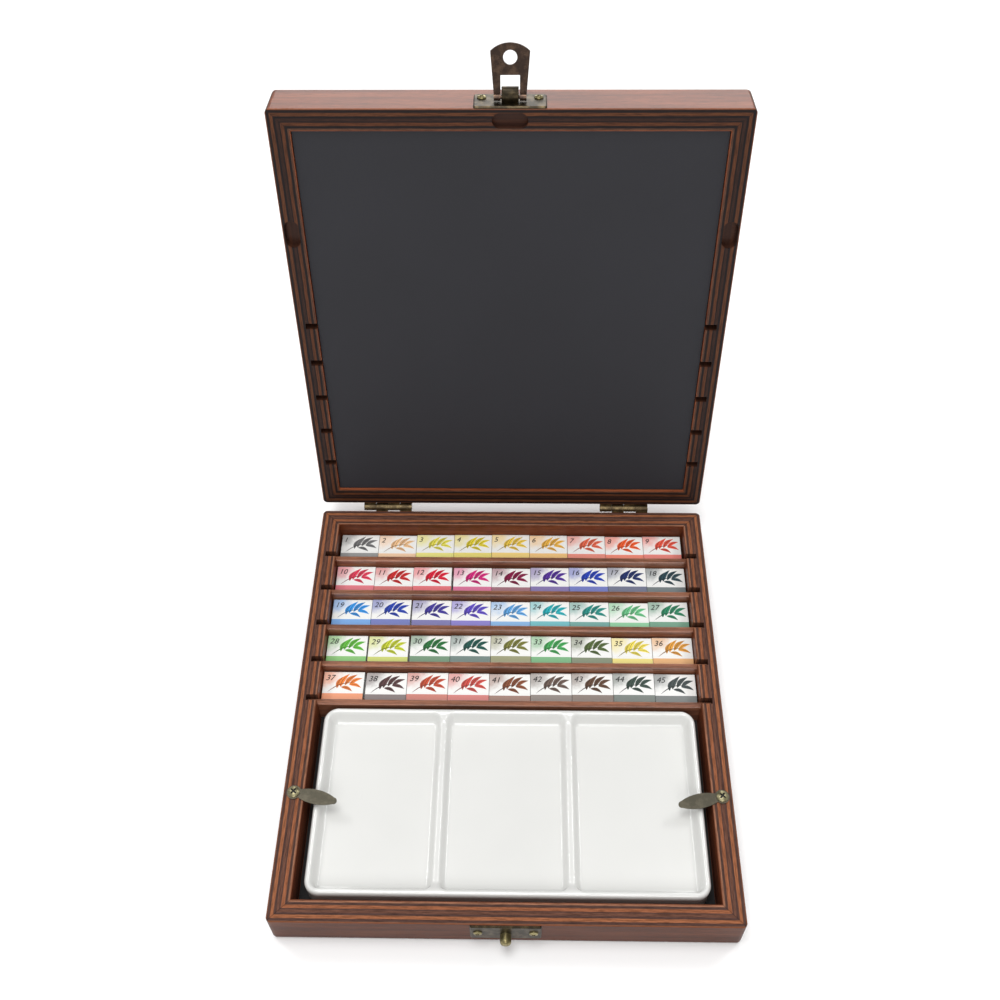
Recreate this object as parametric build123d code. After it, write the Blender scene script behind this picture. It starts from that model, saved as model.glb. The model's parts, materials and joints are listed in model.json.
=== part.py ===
from build123d import *
import os

os.makedirs("parts", exist_ok=True)

# Case: x to the right, y to the hinges, z up, origin at the centre of the underside
case_width = 200.0
case_depth = 218.0
base_height = 20.0
lid_height = 20.0
wall = 9.5
corner_radius = 2.2
panel_edge_radius = 1.8
rim_edge_radius = 0.5
panel_thickness = 3.0
panel_rebate = 5.0
lining_thickness = 0.5
lining_margin = 0.2
rim_gap = 0.8
open_angle = 98.3

# Lining card and foam pad in the lid
card_recess = 1.3
card_sheet = 0.6
card_margin = 0.3
foam_corner = 2.0

# Dividers: distances from the rear face, in slots sawn through both rims
divider_places = [28.5, 49.5, 70.5, 91.5, 112.5]
divider_thickness = 3.0
divider_drop = 4.0
divider_bevel = 0.4
slot_width = 3.1
slot_depth = 5.3
slot_fit = 0.1

# Half pans
pans_in_row = 9
pan_pitch = 19.9
pan_size = (19.7, 16.0, 9.0)
pan_gap_after = {2: {3: 0.9}, 3: {2: 0.6}, 4: {1: 0.6, 2: 0.8}, 5: {1: 0.9}}
pan_stagger = (0.1, -0.4, 0.3, -0.1, 0.5, -0.3, 0.2, -0.5, 0.0)
wrapper_thickness = 0.25
wrapper_edge = 0.4
tub_wall = 1.0
tub_taper = 4.0
tub_margin = 0.2
tub_flange = 1.2
tub_corner = 1.0
cake_corner = 0.8
cake_drop = 0.7

# Ceramic palette
palette_size = (173.6, 88.8, 14.0)
palette_back = 116.3
palette_shift = 0.3
palette_rim = 2.4
palette_corner = 6.6
palette_foot = 2.5
palette_floor = 4.0
well_round = 4.0
ridge_drop = 2.0
ridge_width = 3.0
ridge_places = (-30.6, 27.8)

# Turn buttons
button_x = 95.2
button_back = 160.7
button_length = 20.0
button_width = 6.6
button_neck = 3.4
button_tip = 1.5
button_eye = 3.2
button_thickness = 0.6
button_turn = 12.0
lift = 0.05

# Screws: head radius, head height, shank radius, shank length
button_screw = (2.55, 1.2, 1.0, 9.0)
latch_screw = (1.9, 1.0, 0.8, 6.5)
hinge_screw = (1.8, 0.7, 0.8, 6.0)
screw_point = 1.5
screw_point_share = 0.3
cross_length_share = 1.2
cross_width_share = 0.28
cross_floor_share = 0.42
cross_turn = 50.0
running_fit = 0.08

# Recesses in the lid's rim
side_pocket = (6.6, 13.0, 3.8)
front_pocket = (15.0, 6.5, 3.0)
front_pocket_back = 212.8
side_pocket_out = 0.6

# Hinges: four knuckles each, the first and third on the lid leaf
hinge_places = (-65.6, 59.9)
hinge_width = 25.4
hinge_leaf = 9.2
hinge_sheet = 0.9
hinge_offset = 2.4
knuckle_radius = 1.8
hinge_pin_radius = 0.9
knuckle_gap = 0.15
hinge_screw_spread = 8.0
hinge_screw_drop = 6.2
knuckle_clearance = 0.35
leaf_corner = 1.0
lip_thickness = 0.75
lip_reach = 1.9
pin_bevel = 0.25

# Latch on the lid and catch on the base
plate_width = 30.0
plate_sheet = 0.9
plate_corner = 1.0
plate_bevel = 0.5
latch_plate_height = 12.5
latch_screw_x = 11.7
latch_screw_drop = 8.5
hasp_pivot_drop = 5.0
hasp_pivot_out = 1.8
tab_width = 6.6
tab_radius = 1.7
hasp_sheet = 0.9
hasp_eye = 1.5
hasp_pin_radius = 0.75
hasp_length = 20.8
hasp_shoulder = 17.6
hasp_widths = (13.3, 16.0)
hasp_window = (7.9, 8.4)
hasp_hole = (5.7, 15.2)
hasp_open = 100.0
catch_plate_height = 13.0
catch_plate_drop = 1.0
catch_screw_drop = 7.0
knob_radius = 2.4
knob_length = 4.6
knob_round = 1.68
knob_neck = 1.6

# Worked out from the sizes above
inner_width = case_width - 2 * wall
inner_depth = case_depth - 2 * wall
rear = case_depth / 2
front = -case_depth / 2
floor_top = panel_thickness + lining_thickness
lid_rim = base_height + rim_gap
lid_top = lid_rim + lid_height
pin_y = rear + hinge_offset
pin_z = base_height + rim_gap / 2
pivot_y = front - plate_sheet - hasp_pivot_out
pivot_z = lid_rim + hasp_pivot_drop
knob_z = pivot_z - hasp_hole[1]
compartment = divider_places[1] - divider_places[0] - divider_thickness
low = (Align.CENTER, Align.CENTER, Align.MIN)
nodes = {}


def case_frame(height):
    """The four walls as one ring, panel side down and rim up, with rebate and divider slots."""
    ring = Box(case_width, case_depth, height, align=low)
    ring = fillet(ring.edges().filter_by(Axis.Z), corner_radius)
    ring = fillet(ring.faces().sort_by(Axis.Z)[0].edges(), panel_edge_radius)
    ring = fillet(ring.faces().sort_by(Axis.Z)[-1].edges(), rim_edge_radius)
    ring -= Box(inner_width, inner_depth, height, align=low)
    rebate = Box(inner_width + 2 * panel_rebate, inner_depth + 2 * panel_rebate, panel_thickness, align=low)
    ring -= rebate
    slot_length = inner_width + 2 * slot_depth
    for back in divider_places:
        slot = Box(slot_length, slot_width, height, align=low)
        ring -= Pos(0, rear - back, panel_thickness) * slot
    return ring


def mitre_wedges():
    """Blocks that part a ring into its four mitred walls."""
    half_x = case_width / 2 + 1
    half_y = case_depth / 2 + 1
    reach = wall + 4
    corners = {
        "front": [(-half_x, -half_y), (half_x, -half_y), (half_x - reach, -half_y + reach),
                  (-half_x + reach, -half_y + reach)],
        "left": [(-half_x, -half_y), (-half_x + reach, -half_y + reach), (-half_x + reach, half_y - reach),
                 (-half_x, half_y)],
    }
    wedges = {}
    for side, outline in corners.items():
        wedges[side] = extrude(make_face(Polyline(*outline, close=True)), 100)
    wedges["back"] = Rot(0, 0, 180) * wedges["front"]
    wedges["right"] = Rot(0, 0, 180) * wedges["left"]
    return wedges


def pocket(length, width, deep):
    """Long round-ended recess cutter, its length along x and its mouth at z = 0."""
    return extrude(SlotOverall(length, width), -deep)


def screw(head_radius, head_height, shank_radius, shank_length):
    """Pan-head screw with a cross recess, its head standing on z = 0."""
    crown = head_height * 0.45
    point = shank_radius * screw_point_share
    profile = make_face([
        Line((0, -shank_length), (point, -shank_length)),
        Line((point, -shank_length), (shank_radius, -shank_length + screw_point)),
        Line((shank_radius, -shank_length + screw_point), (shank_radius, 0)),
        Line((shank_radius, 0), (head_radius, 0)),
        Line((head_radius, 0), (head_radius, crown)),
        ThreePointArc((head_radius, crown), (head_radius * 0.62, head_height * 0.88), (0, head_height)),
        Line((0, head_height), (0, -shank_length)),
    ])
    body = revolve(Plane.XZ * profile, Axis.Z)
    for turn in (0, 90):
        cross = Box(head_radius * cross_length_share, head_radius * cross_width_share, head_height, align=low)
        body -= Pos(0, 0, head_height * cross_floor_share) * Rot(0, 0, turn + cross_turn) * cross
    return body


def pilot(shank_radius, shank_length):
    """Hole that a screw's shank fills, going down from z = 0."""
    straight = shank_length - screw_point
    bore = Cylinder(shank_radius, straight, align=(Align.CENTER, Align.CENTER, Align.MAX))
    tip = Cone(shank_radius * screw_point_share, shank_radius, screw_point,
               align=(Align.CENTER, Align.CENTER, Align.MAX))
    return bore + Pos(0, 0, -straight) * tip


def opened(part):
    """Swing a piece of the closed lid to where the lid stands open."""
    return part.rotate(Axis((0, pin_y, pin_z), (1, 0, 0)), -open_angle)


def hasp_opened(part):
    """Swing a piece of the closed hasp out, then open it with the lid."""
    return opened(part.rotate(Axis((0, pivot_y, pivot_z), (1, 0, 0)), -hasp_open))


def group(parts):
    """Several separate solids as one node."""
    return Compound(children=list(parts))


# Places where screws stand, as frames whose z points out of the wood
button_spots = {"left": Pos(-button_x, rear - button_back, base_height + 2 * lift + button_thickness),
                "right": Pos(button_x, rear - button_back, base_height + 2 * lift + button_thickness)}
to_front = Rot(90, 0, 0)
to_rear = Rot(-90, 0, 0)
catch_spots = [Pos(x, front - plate_sheet, base_height - catch_screw_drop) * to_front
               for x in (-latch_screw_x, latch_screw_x)]
latch_spots = [Pos(x, front - plate_sheet, lid_rim + latch_screw_drop) * to_front
               for x in (-latch_screw_x, latch_screw_x)]
hinge_spots = {"base": [], "lid": []}
for place in hinge_places:
    for shift in (-hinge_screw_spread, hinge_screw_spread):
        for side, drop in (("base", -hinge_screw_drop), ("lid", hinge_screw_drop)):
            spot = Pos(place + shift, rear + hinge_sheet, pin_z + drop) * to_rear
            hinge_spots[side].append(spot)


def drill(solid, spots, size):
    """Take the shanks of screws out of a piece."""
    for spot in spots:
        solid -= spot * pilot(size[2], size[3])
    return solid


# Walls of the base and of the lid
base_ring = case_frame(base_height)
base_ring = drill(base_ring, button_spots.values(), button_screw)
base_ring = drill(base_ring, catch_spots, latch_screw)
base_ring = drill(base_ring, hinge_spots["base"], hinge_screw)
lid_ring = Pos(0, 0, lid_top) * mirror(case_frame(lid_height), Plane.XY)
lid_ring = drill(lid_ring, latch_spots, latch_screw)
lid_ring = drill(lid_ring, hinge_spots["lid"], hinge_screw)
rim_down = Rot(180, 0, 0)
lid_ring -= Pos(0, rear - front_pocket_back, lid_rim) * rim_down * pocket(*front_pocket)
for side in (-1, 1):
    place = Pos(side * (button_x + side_pocket_out), rear - button_back, lid_rim)
    lid_ring -= place * rim_down * Rot(0, 0, 90) * pocket(side_pocket[1], side_pocket[0], side_pocket[2])
for name, wedge in mitre_wedges().items():
    nodes["base_wall_" + name] = base_ring & wedge
    nodes["lid_wall_" + name] = opened(lid_ring & wedge)

# Panels, linings and the lid's foam
panel = Box(inner_width + 2 * panel_rebate, inner_depth + 2 * panel_rebate, panel_thickness, align=low)
nodes["base_floor_panel"] = panel
nodes["lid_top_panel"] = opened(Pos(0, 0, lid_top - panel_thickness) * panel)
lining = Box(inner_width - 2 * lining_margin, inner_depth - 2 * lining_margin, lining_thickness, align=low)
nodes["base_floor_lining"] = Pos(0, 0, panel_thickness) * lining
card = Box(inner_width - 2 * card_margin, inner_depth - 2 * card_margin, card_sheet, align=low)
nodes["lid_lining_card"] = opened(Pos(0, 0, lid_rim + card_recess) * card)
foam_height = lid_height - panel_thickness - card_recess - card_sheet
foam = Box(inner_width - 2 * card_margin, inner_depth - 2 * card_margin, foam_height, align=low)
foam = fillet(foam.edges().filter_by(Axis.Z), foam_corner)
nodes["lid_foam_pad"] = opened(Pos(0, 0, lid_rim + card_recess + card_sheet) * foam)

# Dividers
divider_length = inner_width + 2 * (slot_depth - slot_fit)
divider_height = base_height - divider_drop - floor_top
for number, back in enumerate(divider_places, start=1):
    strip = Box(divider_length, divider_thickness, divider_height, align=low)
    strip = chamfer(strip.faces().sort_by(Axis.Z)[-1].edges().filter_by(Axis.X), divider_bevel)
    nodes["divider_" + str(number)] = Pos(0, rear - back, floor_top) * strip


def wrapper():
    """Paper band round a half pan, open at both short ends."""
    length, depth, height = pan_size
    outside = chamfer(Rectangle(depth, height).vertices(), wrapper_edge)
    inside = Rectangle(depth - 2 * wrapper_thickness, height - 2 * wrapper_thickness)
    band = extrude(Plane.YZ * (outside - inside), length / 2, both=True)
    return Pos(0, 0, height / 2) * band


def tapered_block(length, depth, height, corner):
    """Block with chamfered corners that narrows towards its foot, its mouth on z = height."""
    top = chamfer(Rectangle(length, depth).vertices(), corner)
    return Pos(0, 0, height) * extrude(top, -height, taper=tub_taper)


def tub():
    """Half-pan tub: four tapered walls with a flange round the mouth."""
    length = pan_size[0] - 2 * tub_margin
    depth = pan_size[1] - 2 * wrapper_thickness
    height = pan_size[2] - 2 * wrapper_thickness
    body = tapered_block(length - tub_flange, depth - tub_flange, height, tub_corner)
    body += Pos(0, 0, height - tub_flange) * Box(length, depth, tub_flange, align=low)
    inset = 2 * tub_wall + tub_flange
    hollow = tapered_block(length - inset, depth - inset, height - tub_wall, cake_corner)
    body -= Pos(0, 0, tub_wall) * hollow
    return body


def cake():
    """Dried paint that fills a tub to just under its mouth."""
    length = pan_size[0] - 2 * tub_margin - 2 * tub_wall - tub_flange
    depth = pan_size[1] - 2 * wrapper_thickness - 2 * tub_wall - tub_flange
    height = pan_size[2] - 2 * wrapper_thickness - tub_wall
    block = tapered_block(length, depth, height, cake_corner)
    skim = Box(pan_size[0], pan_size[1], cake_drop, align=low)
    return block - Pos(0, 0, height - cake_drop) * skim


# Half pans, nine to a row, standing on the lining between the dividers
one_wrapper = wrapper()
one_tub = tub()
one_cake = cake()
for row, back in enumerate(divider_places, start=1):
    middle = rear - (back - divider_thickness / 2 - compartment / 2)
    x = -pan_pitch * (pans_in_row - 1) / 2 - sum(pan_gap_after.get(row, {}).values()) / 2
    bands, tubs, cakes = [], [], []
    for pan in range(1, pans_in_row + 1):
        y = middle + pan_stagger[(2 * pan + 3 * row) % len(pan_stagger)]
        bands.append(Pos(x, y, floor_top) * one_wrapper)
        tubs.append(Pos(x, y, floor_top + wrapper_thickness) * one_tub)
        cakes.append(Pos(x, y, floor_top + wrapper_thickness + tub_wall) * one_cake)
        x += pan_pitch + pan_gap_after.get(row, {}).get(pan, 0)
    nodes["pan_wrappers_row_" + str(row)] = group(bands)
    nodes["pan_tubs_row_" + str(row)] = group(tubs)
    nodes["paint_cakes_row_" + str(row)] = group(cakes)


def palette():
    """Glazed tray with a round raised rim and three wells parted by two low ridges."""
    length, depth, height = palette_size
    tray = Box(length, depth, height, align=low)
    tray = fillet(tray.edges().filter_by(Axis.Z), palette_corner)
    tray = fillet(tray.faces().sort_by(Axis.Z)[0].edges(), palette_foot)
    inner = (length - 2 * palette_rim, depth - 2 * palette_rim)
    sunk = Box(inner[0], inner[1], ridge_drop, align=low)
    sunk = fillet(sunk.edges().filter_by(Axis.Z), palette_corner - palette_rim)
    tray -= Pos(0, 0, height - ridge_drop) * sunk
    edges = [-inner[0] / 2, *ridge_places, inner[0] / 2]
    for number in range(3):
        left = edges[number] + (ridge_width / 2 if number else 0)
        right = edges[number + 1] - (ridge_width / 2 if number < 2 else 0)
        well_height = height - ridge_drop - palette_floor
        well = Box(right - left, inner[1], well_height, align=low)
        well = fillet(well.edges().filter_by(Axis.Z), palette_corner - palette_rim)
        well = fillet(well.faces().sort_by(Axis.Z)[0].edges(), well_round)
        tray -= Pos((left + right) / 2, 0, palette_floor) * well
    rim = tray.faces().sort_by(Axis.Z)[-1]
    tray = fillet(rim.edges(), palette_rim / 2 - 0.1)
    return tray


nodes["palette"] = Pos(palette_shift, rear - palette_back - palette_size[1] / 2, floor_top) * palette()


def turn_button():
    """Brass leaf that turns on a screw: a round eye and a leaf-shaped blade along x."""
    half = button_width / 2
    neck = button_neck / 2
    root = button_eye * 0.6
    belly = button_length * 0.6
    shoulder = button_length - button_tip
    blade = make_face([
        ThreePointArc((root, -neck), (belly, -half), (shoulder, -button_tip)),
        ThreePointArc((shoulder, -button_tip), (button_length, 0), (shoulder, button_tip)),
        ThreePointArc((shoulder, button_tip), (belly, half), (root, neck)),
        Line((root, neck), (root, -neck)),
    ])
    leaf = blade + Circle(button_eye) - Circle(button_screw[2] + running_fit)
    return extrude(leaf, button_thickness)


under_head = base_height + lift
nodes["left_turn_button"] = Pos(-button_x, rear - button_back, under_head) * Rot(0, 0, -button_turn) * turn_button()
nodes["right_turn_button"] = (
    Pos(button_x, rear - button_back, under_head) * Rot(0, 0, 180 + button_turn) * turn_button())
nodes["turn_button_screws"] = group(spot * screw(*button_screw) for spot in button_spots.values())


def edge_plate(height):
    """Pressed brass plate with bevelled edges, standing on the xy plane."""
    plate = Box(plate_width, height, plate_sheet, align=low)
    plate = fillet(plate.edges().filter_by(Axis.Z), plate_corner)
    return chamfer(plate.faces().sort_by(Axis.Z)[-1].edges(), plate_bevel)


# Catch on the front of the base
catch_middle = base_height - catch_plate_drop - catch_plate_height / 2
catch_plate = Pos(0, front, catch_middle) * to_front * edge_plate(catch_plate_height)
knob_axis = Pos(0, front - plate_sheet, knob_z) * to_front
catch_plate -= Pos(0, front, knob_z) * to_front * Cylinder(knob_neck, plate_sheet * 2)
nodes["catch_plate"] = drill(catch_plate, catch_spots, latch_screw)
knob = Cylinder(knob_radius, knob_length, align=low)
knob = fillet(knob.faces().sort_by(Axis.Z)[-1].edges(), knob_round)
knob += Cylinder(knob_neck, plate_sheet, align=(Align.CENTER, Align.CENTER, Align.MAX))
nodes["catch_knob"] = knob_axis * knob
nodes["catch_screws"] = group(spot * screw(*latch_screw) for spot in catch_spots)

# Latch plate on the lid, with its curled tab round the hasp's pin
latch_plate = Pos(0, front, lid_rim + latch_plate_height / 2) * to_front * edge_plate(latch_plate_height)
pivot = Pos(0, pivot_y, pivot_z) * Rot(0, 90, 0)
tab = pivot * Cylinder(tab_radius, tab_width)
tab += Pos(0, (pivot_y + front - plate_sheet) / 2, pivot_z - tab_radius / 2) * Box(
    tab_width, front - plate_sheet - pivot_y, tab_radius)
latch_plate += tab
latch_plate -= pivot * Cylinder(hasp_pin_radius, tab_width + 2)
nodes["latch_plate"] = opened(drill(latch_plate, latch_spots, latch_screw))
nodes["latch_screws"] = group(opened(spot * screw(*latch_screw)) for spot in latch_spots)
hasp_pin = Cylinder(hasp_pin_radius, hasp_widths[0])
nodes["hasp_pin"] = opened(pivot * chamfer(hasp_pin.edges().filter_by(GeomType.CIRCLE), pin_bevel))


def hasp():
    """Hasp in the closed pose: tapered legs, window, round hole and an arched end, eyes on the pin."""
    root, shoulder = hasp_widths[0] / 2, hasp_widths[1] / 2
    outline = make_face([
        Line((-root, 0), (root, 0)),
        Line((root, 0), (shoulder, -hasp_shoulder)),
        ThreePointArc((shoulder, -hasp_shoulder), (0, -hasp_length), (-shoulder, -hasp_shoulder)),
        Line((-shoulder, -hasp_shoulder), (-root, 0)),
    ])
    outline -= Pos(0, -hasp_hole[1]) * Circle(hasp_hole[0] / 2)
    sheet = extrude(Plane.XZ * outline, hasp_sheet)
    sheet = Pos(0, -(hasp_eye - hasp_sheet), 0) * sheet
    eyes = Rot(0, 90, 0) * Cylinder(hasp_eye, hasp_widths[0])
    body = sheet + eyes
    body -= Box(hasp_window[0], 4 * hasp_eye, 2 * hasp_window[1])
    body -= Rot(0, 90, 0) * Cylinder(hasp_pin_radius + running_fit, case_width)
    return Pos(0, pivot_y, pivot_z) * body


nodes["hasp"] = hasp_opened(hasp())


def knuckle_span(number):
    """Left end and width of one of the four knuckles of a hinge."""
    step = hinge_width / 4
    return -hinge_width / 2 + number * step + knuckle_gap / 2, step - knuckle_gap


def hinge_piece(own, bore):
    """Hinge leaf below its pin line: a flat sheet against the wood and the knuckles that it owns."""
    reach = knuckle_radius + knuckle_clearance
    sheet = Box(hinge_width, hinge_sheet, hinge_leaf - reach,
                align=(Align.CENTER, Align.MIN, Align.MIN))
    piece = Pos(0, -hinge_offset, -hinge_leaf) * sheet
    piece = chamfer(piece.edges().filter_by(Axis.Y).sort_by(Axis.Z)[:2], leaf_corner)
    for number in own:
        start, length = knuckle_span(number)
        at = Pos(start + length / 2, 0, 0)
        piece += at * Rot(0, 90, 0) * Cylinder(knuckle_radius, length)
        piece += at * Pos(0, -hinge_offset, -reach) * Box(
            length, hinge_sheet, knuckle_radius, align=(Align.CENTER, Align.MIN, Align.MIN))
    piece -= Rot(0, 90, 0) * Cylinder(bore, hinge_width + 2)
    return piece


def stop_lip(number):
    """Lip on a base knuckle that the lid leaf comes to rest on when the lid stands open."""
    start, length = knuckle_span(number)
    inside = hinge_offset - hinge_sheet - lift
    lip = Box(length, lip_thickness, knuckle_radius + lip_reach, align=(Align.CENTER, Align.MIN, Align.MIN))
    lip = Pos(start + length / 2, -inside, 0) * lip
    return lip.rotate(Axis.X, -open_angle)


for side, place in zip(("left", "right"), hinge_places):
    at = Pos(place, pin_y, pin_z)
    base_leaf = hinge_piece((1, 3), hinge_pin_radius)
    for number in (1, 3):
        base_leaf += stop_lip(number)
    base_leaf -= Rot(0, 90, 0) * Cylinder(hinge_pin_radius, hinge_width + 2)
    lid_leaf = mirror(hinge_piece((0, 2), hinge_pin_radius + running_fit), Plane.XY)
    pin = Rot(0, 90, 0) * Cylinder(hinge_pin_radius, hinge_width)
    pin = chamfer(pin.edges().filter_by(GeomType.CIRCLE), pin_bevel)
    nodes[side + "_hinge_base_leaf"] = drill(at * base_leaf, hinge_spots["base"], hinge_screw)
    nodes[side + "_hinge_lid_leaf"] = opened(drill(at * lid_leaf, hinge_spots["lid"], hinge_screw))
    nodes[side + "_hinge_pin"] = at * pin
nodes["hinge_screws_base"] = group(spot * screw(*hinge_screw) for spot in hinge_spots["base"])
nodes["hinge_screws_lid"] = group(opened(spot * screw(*hinge_screw)) for spot in hinge_spots["lid"])

for name, part in nodes.items():
    export_step(part, "parts/" + name + ".step")
print(len(nodes), "nodes")
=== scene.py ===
# %% [markdown]
# # A wooden watercolour box
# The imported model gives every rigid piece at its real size: walls, hinges, latch and dividers.
# This file gives those pieces their finish and makes the pieces that CAD is too stiff for,
# which are the glazed palette and the paper bands of the half pans. Everything is in metres,
# in the model's own frame, and the box stands open as in its photograph.

# %% Load the frame
import json
import math

import bpy
import numpy as np
from mathutils import Matrix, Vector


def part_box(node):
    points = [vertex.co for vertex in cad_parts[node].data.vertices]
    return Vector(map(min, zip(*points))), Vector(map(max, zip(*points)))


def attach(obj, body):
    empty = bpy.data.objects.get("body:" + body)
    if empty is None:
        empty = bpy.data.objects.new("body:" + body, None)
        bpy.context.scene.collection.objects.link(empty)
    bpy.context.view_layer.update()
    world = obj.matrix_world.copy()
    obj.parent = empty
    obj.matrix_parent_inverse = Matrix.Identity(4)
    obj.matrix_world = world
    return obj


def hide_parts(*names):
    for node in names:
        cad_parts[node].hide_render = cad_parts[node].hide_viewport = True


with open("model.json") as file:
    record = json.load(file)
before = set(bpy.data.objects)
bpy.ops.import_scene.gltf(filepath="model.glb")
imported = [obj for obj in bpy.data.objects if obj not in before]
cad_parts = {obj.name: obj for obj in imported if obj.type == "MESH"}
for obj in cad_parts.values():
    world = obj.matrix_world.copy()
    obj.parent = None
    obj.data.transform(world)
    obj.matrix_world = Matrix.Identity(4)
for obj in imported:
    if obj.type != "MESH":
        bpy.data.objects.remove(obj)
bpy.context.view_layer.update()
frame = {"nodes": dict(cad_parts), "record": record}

nodes = frame["nodes"]

# %% [markdown]
# The box's own sizes come back from the frame, so the patterns in the wood follow the real
# walls. Three values are the model's driving dimensions, which no single node's box shows:
# the thickness of a wall, the gap between the shut rims and the angle of the open lid.

# %% Sizes of the box, in millimetres
MM = 0.001
TO_MM = (1 / MM, 1 / MM, 1 / MM)
WALL = 9.5
RIM_GAP = 0.8
OPEN_ANGLE = 98.3
back_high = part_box("base_wall_back")[1]
right_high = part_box("base_wall_right")[1]
half_width = right_high.x / MM
half_depth = back_high.y / MM
base_height = back_high.z / MM
lid_rim = base_height + RIM_GAP
hinge = next(joint for joint in frame["record"]["behaviour"]["joints"] if joint["name"] == "lid_hinge")
pin_y, pin_z = hinge["pos_m"][1], hinge["pos_m"][2]
print("case %.0f by %.0f mm, base %.0f mm high" % (2 * half_width, 2 * half_depth, base_height))

# %% [markdown]
# The camera stands in front of the box and looks down at it by about 51 degrees, as the
# photographer did. Its place, turn and focal length were worked out from the corners of the
# box, so the render lines up with the photograph.

# %% Camera
camera_place = np.array([5.5, -271.9, 501.2]) * MM
yaw, pitch, roll = np.radians([-1.69, -51.05, -0.98])
focal_pixels = 1152.7
picture_pixels = 1000
ahead = np.array([math.sin(yaw) * math.cos(pitch), math.cos(yaw) * math.cos(pitch), math.sin(pitch)])
level = np.array([math.cos(yaw), -math.sin(yaw), 0.0])
upright = np.cross(level, ahead)
right = math.cos(roll) * level + math.sin(roll) * upright
up = math.cos(roll) * upright - math.sin(roll) * level
camera_data = bpy.data.cameras.new("camera")
camera_data.sensor_width = 36.0
camera_data.lens = focal_pixels / picture_pixels * camera_data.sensor_width
camera_data.clip_start = 0.01
camera = bpy.data.objects.new("camera", camera_data)
matrix = np.eye(4)
matrix[:3, 0], matrix[:3, 1], matrix[:3, 2], matrix[:3, 3] = right, up, -ahead, camera_place
camera.matrix_world = Matrix(matrix.tolist())
bpy.context.scene.collection.objects.link(camera)
bpy.context.scene.camera = camera
print("lens %.1f mm" % camera_data.lens)

# %% [markdown]
# Shader maths reads best as ordinary sums. `Worked` wraps one socket of a node, and its
# operators add the Math nodes, so a mask can be written as `1 - edge * 0.5`. `Finish` holds
# one material, and its `add` method makes any other node.

# %% Shader helpers
class Worked:
    """A number, colour or vector worked out by a node."""

    def __init__(self, finish, socket):
        self.finish = finish
        self.socket = socket

    def maths(self, operation, first, second=0.0):
        return self.finish.maths(operation, first, second)

    def __add__(self, other):
        return self.maths("ADD", self, other)

    def __sub__(self, other):
        return self.maths("SUBTRACT", self, other)

    def __rsub__(self, other):
        return self.maths("SUBTRACT", other, self)

    def __mul__(self, other):
        return self.maths("MULTIPLY", self, other)

    def __truediv__(self, other):
        return self.maths("DIVIDE", self, other)

    def __abs__(self):
        return self.maths("ABSOLUTE", self)

    def least(self, other):
        return self.maths("MINIMUM", self, other)

    def most(self, other):
        return self.maths("MAXIMUM", self, other)

    __radd__ = __add__
    __rmul__ = __mul__


class Finish:
    """One material: a Principled shader and the nodes that feed it."""

    def __init__(self, name, **values):
        self.material = bpy.data.materials.new(name)
        self.material.use_nodes = True
        self.tree = self.material.node_tree
        self.shader = self.tree.nodes["Principled BSDF"]
        self.surface(**values)

    def add(self, kind, settings=None, inputs=None, output=0):
        """Make a node: its settings first, then the values or links of its sockets."""
        node = self.tree.nodes.new(kind)
        for key, value in (settings or {}).items():
            if key == "stops":
                ramp = node.color_ramp
                for number, (place, colour) in enumerate(value):
                    stop = ramp.elements[number] if number < 2 else ramp.elements.new(1.0)
                    stop.position, stop.color = place, colour
            else:
                setattr(node, key, value)
        for key, value in (inputs or {}).items():
            self.feed(node.inputs[key], value)
        return Worked(self, node.outputs[output])

    def maths(self, operation, first, second=0.0):
        return self.add("ShaderNodeMath", {"operation": operation}, {0: first, 1: second})

    def feed(self, socket, value):
        if isinstance(value, Worked):
            self.tree.links.new(value.socket, socket)
        else:
            socket.default_value = value

    def surface(self, **values):
        """Set or feed the shader's sockets; Coat_Weight stands for Coat Weight."""
        for key, value in values.items():
            self.feed(self.shader.inputs[key.replace("_", " ")], value)

    def between(self, value, low, high):
        """A smooth step from 0 at low to 1 at high."""
        return self.add("ShaderNodeMapRange", {"interpolation_type": "SMOOTHSTEP"},
                        {"Value": value, "From Min": low, "From Max": high})

    def noise(self, vector, scale=1.0, detail=3.0, roughness=0.55):
        return self.add("ShaderNodeTexNoise", {},
                        {"Vector": vector, "Scale": scale, "Detail": detail, "Roughness": roughness})

    def ramp(self, value, *stops):
        return self.add("ShaderNodeValToRGB", {"stops": stops}, {0: value})

    def vector(self, x, y, z):
        return self.add("ShaderNodeCombineXYZ", {}, {0: x, 1: y, 2: z})

    def mix(self, factor, first, second, blend="MIX"):
        """Mix two colours, or multiply the first by the second."""
        return self.add("ShaderNodeMix", {"data_type": "RGBA", "blend_type": blend},
                        {0: factor, 6: first, 7: second}, output=2)

    def bump(self, height, strength, distance_mm):
        bumped = self.add("ShaderNodeBump", {}, {"Strength": strength, "Distance": distance_mm * MM,
                                                 "Height": height})
        self.surface(Normal=bumped)

    def object_mm(self):
        """Object coordinates as three numbers in millimetres."""
        place = self.add("ShaderNodeTexCoord", output="Object")
        return self.split(self.add("ShaderNodeMapping", {}, {"Vector": place, "Scale": TO_MM}))

    def split(self, vector):
        return [self.add("ShaderNodeSeparateXYZ", {}, {0: vector}, output=axis) for axis in range(3)]

    def put_on(self, *names):
        """Give this finish to CAD nodes."""
        for name in names:
            for slot in nodes[name].material_slots:
                slot.material = self.material


def tint(red, green, blue):
    """A colour given as it looks on a screen, 0 to 255, turned into the shader's linear light."""
    shares = np.array([red, green, blue]) / 255
    linear = np.where(shares <= 0.04045, shares / 12.92, ((shares + 0.055) / 1.055) ** 2.4)
    return (*linear.tolist(), 1.0)


print("mid grey in linear light: %.3f" % tint(128, 128, 128)[0])

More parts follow.
